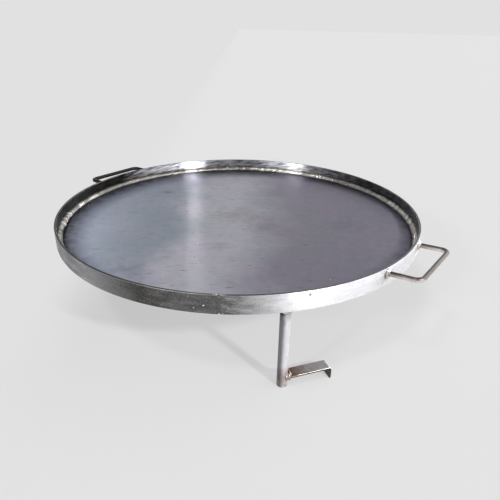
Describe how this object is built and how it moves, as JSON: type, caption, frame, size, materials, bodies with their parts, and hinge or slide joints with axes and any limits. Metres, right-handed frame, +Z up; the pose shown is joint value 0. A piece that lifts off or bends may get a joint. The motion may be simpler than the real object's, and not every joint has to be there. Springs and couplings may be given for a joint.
{
  "type": "camp griddle plate",
  "caption": "Round steel griddle plate with a welded flat-bar rim, rod handles and round-bar legs with bent feet, for cooking over a camp fire.",
  "frame": {"origin": "on the ground below the middle of the plate", "axes": "+X through the right handle, +Z up"},
  "size_m": [0.7759, 0.6799, 0.168],
  "materials": {
    "plate_steel": "raw hot-rolled plate, satin, faint smudges and blue-grey mill tint",
    "band_steel": "raw flat bar, scratched along its length by sanding",
    "rod_steel": "raw drawn rod, bent, light tarnish",
    "leg_steel": "raw round bar, drawn, bright",
    "foot_steel": "raw flat bar with brown heat tint beside the weld",
    "weld_metal": "arc weld bead, wire-brushed, rippled"
  },
  "bodies": {
    "root": {"cooking_plate": "plate_steel", "rim_band": "band_steel", "rim_seam_weld": "weld_metal", "inner_fillet_weld": "weld_metal", "handle_right": "rod_steel", "handle_left": "rod_steel", "handle_weld_right_front": "weld_metal", "handle_weld_right_rear": "weld_metal", "handle_weld_left_front": "weld_metal", "handle_weld_left_rear": "weld_metal", "leg_front": "leg_steel", "leg_rear": "leg_steel", "leg_left": "leg_steel", "leg_weld_front": "weld_metal", "leg_weld_rear": "weld_metal", "leg_weld_left": "weld_metal", "foot_front": "foot_steel", "foot_rear": "foot_steel", "foot_left": "foot_steel", "foot_weld_front": "weld_metal", "foot_weld_rear": "weld_metal", "foot_weld_left": "weld_metal"}
  },
  "joints": []
}
